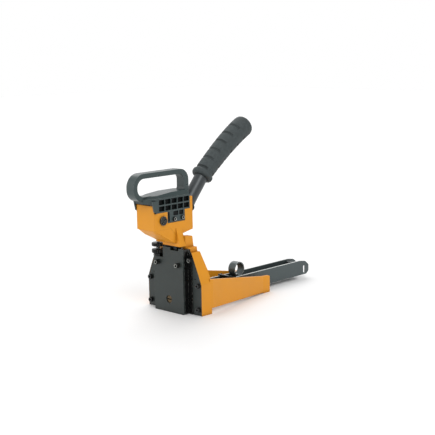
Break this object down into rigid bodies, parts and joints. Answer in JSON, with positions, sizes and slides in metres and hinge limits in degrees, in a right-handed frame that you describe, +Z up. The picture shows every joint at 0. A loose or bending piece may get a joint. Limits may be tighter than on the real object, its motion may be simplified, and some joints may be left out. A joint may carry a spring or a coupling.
{
  "type": "manual carton stapler",
  "caption": "Hand-worked carton stapler: a long lever drives a ram and clinching claws in a cast nose, with a loop handle on top and an open staple rail with a pusher behind.",
  "frame": {"origin": "centre of the bounding box in X and Y, on the surface that the nose and the rail support stand on", "axes": "+X towards the right side seen from the nose, +Y back along the staple rail, +Z up"},
  "size_m": [0.116, 0.3928, 0.2881],
  "materials": {
    "orange_paint": "orange powder coat over die-cast aluminium",
    "grey_steel": "dark grey phosphated steel",
    "black_steel": "black oxide, oiled",
    "tube_steel": "dark satin steel",
    "bright_steel": "ground steel",
    "grey_plastic": "moulded glass-filled plastic, fine texture",
    "grip_rubber": "matt moulded rubber",
    "brass": "dull turned brass"
  },
  "bodies": {
    "frame": {"nose_casting": "orange_paint", "head_casting": "orange_paint", "front_plate": "grey_steel", "window_plug": "brass", "stud_bracket": "black_steel", "adjusting_stud": "bright_steel", "side_rail_left": "black_steel", "side_rail_right": "black_steel", "wing_cover_left": "grey_steel", "wing_cover_right": "grey_steel", "plate_screw_left": "bright_steel", "plate_screw_right": "bright_steel", "rail_screw_left": "bright_steel", "rail_screw_right": "bright_steel", "cover_screw_upper_left": "black_steel", "cover_screw_upper_right": "black_steel", "cover_screw_lower_left": "black_steel", "cover_screw_lower_right": "black_steel", "neck_bolt_left": "black_steel", "neck_bolt_right": "black_steel", "handle_screw_front_left": "bright_steel", "handle_screw_front_right": "bright_steel", "handle_screw_rear_left": "bright_steel", "handle_screw_rear_right": "bright_steel", "clincher_pin_left": "bright_steel", "clincher_pin_right": "bright_steel", "loop_handle": "grey_plastic", "pivot_pin": "black_steel", "pivot_retaining_ring": "bright_steel", "spring_anchor_pin": "bright_steel", "return_spring": "bright_steel", "staple_rail": "grey_steel", "rail_end_stop": "bright_steel", "end_stop_screw": "bright_steel", "magazine_screw_front": "bright_steel", "magazine_screw_rear": "bright_steel", "pusher_spring": "bright_steel"},
    "lever": {"lever_plate_left": "black_steel", "lever_plate_right": "black_steel", "lever_tube": "tube_steel", "lever_rivet": "black_steel", "grip": "grip_rubber", "drive_pin": "bright_steel", "pivot_bush": "brass", "spring_pin": "bright_steel"},
    "roller": {"drive_roller": "bright_steel"},
    "ram": {"ram_block": "black_steel", "driver_blade": "tube_steel", "driver_screw_left": "bright_steel", "driver_screw_right": "bright_steel"},
    "claw_left": {"clincher_left": "bright_steel"},
    "claw_right": {"clincher_right": "bright_steel"},
    "pusher": {"pusher_block": "black_steel", "finger_ring": "grey_steel", "ring_rivet": "bright_steel"},
    "knob": {"adjusting_knob": "black_steel"},
    "jam_nut": {"lock_nut": "black_steel"}
  },
  "joints": [
    {"name": "lever_pivot", "type": "hinge", "parent": "frame", "child": "lever", "pos_m": [0, -0.1502, 0.1465], "axis": [-1, 0, 0], "range_deg": [0, 51], "stiffness_Nm_per_rad": 0.5, "springref_deg": -114.59, "deforming": ["return_spring"]},
    {"name": "roller_spin", "type": "hinge", "parent": "lever", "child": "roller", "pos_m": [0, -0.11771, 0.162], "axis": [1, 0, 0], "continuous": true},
    {"name": "ram_slide", "type": "slide", "parent": "frame", "child": "ram", "axis": [0, 0, -1], "range_m": [0, 0.0312]},
    {"name": "claw_left_swing", "type": "hinge", "parent": "frame", "child": "claw_left", "pos_m": [-0.027, -0.106, 0.009], "axis": [0, -1, 0], "range_deg": [0, 102]},
    {"name": "claw_right_swing", "type": "hinge", "parent": "frame", "child": "claw_right", "pos_m": [0.027, -0.106, 0.009], "axis": [0, 1, 0], "range_deg": [0, 102]},
    {"name": "pusher_slide", "type": "slide", "parent": "frame", "child": "pusher", "axis": [0, 1, 0], "range_m": [-0.105, 0.12], "deforming": ["pusher_spring"]},
    {"name": "knob_turn", "type": "hinge", "parent": "frame", "child": "knob", "pos_m": [-0.026, -0.1204, 0.102], "axis": [0, 0, 1], "range_deg": [-180, 180]},
    {"name": "jam_nut_turn", "type": "hinge", "parent": "frame", "child": "jam_nut", "pos_m": [-0.026, -0.1204, 0.092], "axis": [0, 0, 1], "range_deg": [-180, 180]}
  ],
  "couplings": [
    {"joint": "ram_slide", "follows": "lever_pivot", "m_per_rad": 0.034823},
    {"joint": "claw_left_swing", "follows": "lever_pivot", "ratio": 2},
    {"joint": "claw_right_swing", "follows": "lever_pivot", "ratio": 2}
  ]
}
